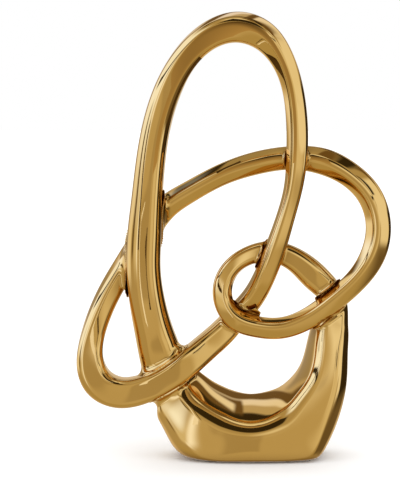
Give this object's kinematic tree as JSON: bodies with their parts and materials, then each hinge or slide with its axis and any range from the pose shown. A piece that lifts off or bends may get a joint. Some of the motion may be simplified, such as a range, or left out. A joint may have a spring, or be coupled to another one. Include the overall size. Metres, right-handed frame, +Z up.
{
  "type": "abstract knot sculpture",
  "caption": "Free-standing ceramic knot: a twisted square strand in mirror gold loops through itself, rises in a tall open oval and swells into its own foot. For a shelf or mantel.",
  "frame": {"origin": "the middle of the object's outline, on the shelf it stands on", "axes": "+Z up, the front faces -Y, +X to the right seen from the front"},
  "size_m": [0.1904, 0.05, 0.2699],
  "materials": {
    "gold_glaze": "mirror gold plate over a smooth glaze",
    "pad_foam": "matte closed-cell foam"
  },
  "bodies": {
    "root": {"tall_loop": "gold_glaze", "side_loop": "gold_glaze", "back_arc": "gold_glaze", "ring_and_eye": "gold_glaze", "short_link": "gold_glaze", "base": "gold_glaze", "foot_pad_front_left": "pad_foam", "foot_pad_front_right": "pad_foam", "foot_pad_back_left": "pad_foam", "foot_pad_back_right": "pad_foam"}
  },
  "joints": []
}
